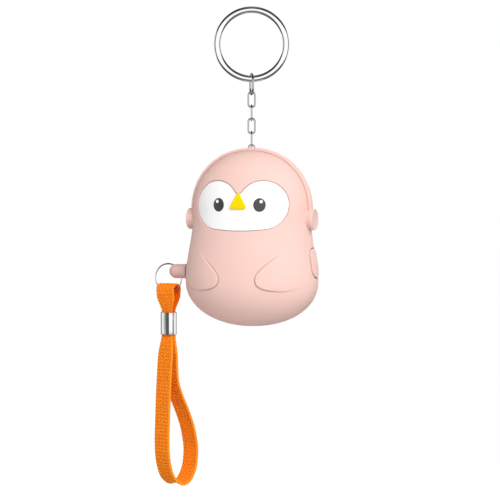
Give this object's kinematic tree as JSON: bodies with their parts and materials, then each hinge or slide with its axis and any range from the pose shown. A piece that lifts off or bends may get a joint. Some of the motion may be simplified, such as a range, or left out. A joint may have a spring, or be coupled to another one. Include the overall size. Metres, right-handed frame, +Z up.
{
  "type": "personal safety alarm",
  "caption": "Pear-shaped animal-face safety alarm with headphones, hung on a chain and key ring, with a light button and a pull pin on a woven wrist strap.",
  "frame": {"origin": "centre of the key ring that the alarm hangs from", "axes": "+Z up along the hanging chain, the face looks along -Y, the pull pin leaves along -X"},
  "size_m": [0.0652, 0.0334, 0.181],
  "materials": {
    "chain_metal": "polished",
    "shell_pink": "fine matte",
    "face_white": "satin",
    "eye_dark": "gloss",
    "glint_white": "gloss",
    "beak_yellow": "satin",
    "strap_orange": "woven",
    "pin_steel": "ground",
    "board_green": "solder mask",
    "part_black": "moulded",
    "cell_steel": "stamped",
    "brass": "rolled",
    "ceramic": "fired",
    "gasket": "foam",
    "coil_copper": "enamelled"
  },
  "bodies": {
    "key_ring": {"key_ring": "chain_metal"},
    "link_1": {"chain_link_1": "chain_metal"},
    "link_2": {"chain_link_2": "chain_metal"},
    "link_3": {"chain_link_3": "chain_metal"},
    "link_4": {"chain_link_4": "chain_metal"},
    "link_5": {"chain_link_5": "chain_metal"},
    "alarm": {"chain_eyelet": "chain_metal", "front_shell": "shell_pink", "rear_shell": "shell_pink", "headband": "shell_pink", "left_ear_cup": "shell_pink", "right_ear_cup": "shell_pink", "face_plate": "face_white", "left_eye": "eye_dark", "right_eye": "eye_dark", "eye_glints": "glint_white", "beak": "beak_yellow", "circuit_board": "board_green", "cell_holder": "part_black", "coin_cells": "cell_steel", "cell_clip": "cell_steel", "siren_plate": "brass", "siren_ceramic": "ceramic", "siren_gasket": "gasket", "siren_coil": "coil_copper", "driver_chip": "part_black", "face_lights": "face_white", "button_switch": "part_black", "pin_switch": "part_black", "switch_leaves": "brass", "case_screws": "pin_steel"},
    "light_button": {"light_button": "shell_pink"},
    "pull_pin": {"pull_pin_grip": "shell_pink", "pull_pin_shank": "pin_steel"},
    "pin_ring": {"pin_ring": "chain_metal"},
    "strap": {"strap_fold": "strap_orange", "strap_loop": "strap_orange", "strap_ferrule": "chain_metal"}
  },
  "joints": [
    {"name": "link_1_swing", "type": "hinge", "parent": "key_ring", "child": "link_1", "pos_m": [0, 0, -0.01355], "axis": [0.848, 0.5299, 0], "range_deg": [-30, 30]},
    {"name": "link_2_swing", "type": "hinge", "parent": "link_1", "child": "link_2", "pos_m": [0, 0, -0.01895], "axis": [-0.342, 0.9397, 0], "range_deg": [-30, 30]},
    {"name": "link_3_swing", "type": "hinge", "parent": "link_2", "child": "link_3", "pos_m": [0, 0, -0.02385], "axis": [0.9397, 0.342, 0], "range_deg": [-30, 30]},
    {"name": "link_4_swing", "type": "hinge", "parent": "link_3", "child": "link_4", "pos_m": [0, 0, -0.02875], "axis": [-0.342, 0.9397, 0], "range_deg": [-30, 30]},
    {"name": "link_5_swing", "type": "hinge", "parent": "link_4", "child": "link_5", "pos_m": [0, 0, -0.03365], "axis": [0.9397, 0.342, 0], "range_deg": [-30, 30]},
    {"name": "alarm_swing", "type": "hinge", "parent": "link_5", "child": "alarm", "pos_m": [0, 0, -0.03845], "axis": [-0.342, 0.9397, 0], "range_deg": [-30, 30]},
    {"name": "button_press", "type": "slide", "parent": "alarm", "child": "light_button", "axis": [-1, 0, 0], "range_m": [0, 0.0006], "stiffness_N_per_m": 500},
    {"name": "pin_pull", "type": "slide", "parent": "alarm", "child": "pull_pin", "axis": [-1, 0, 0], "range_m": [0, 0.018]},
    {"name": "pin_ring_turn", "type": "hinge", "parent": "pull_pin", "child": "pin_ring", "pos_m": [-0.0336, 0, -0.08755], "axis": [0, 1, 0], "range_deg": [-12, 35]},
    {"name": "strap_swing", "type": "hinge", "parent": "pin_ring", "child": "strap", "pos_m": [-0.0336, 0, -0.09205], "axis": [1, 0, 0], "range_deg": [-25, 25]}
  ]
}
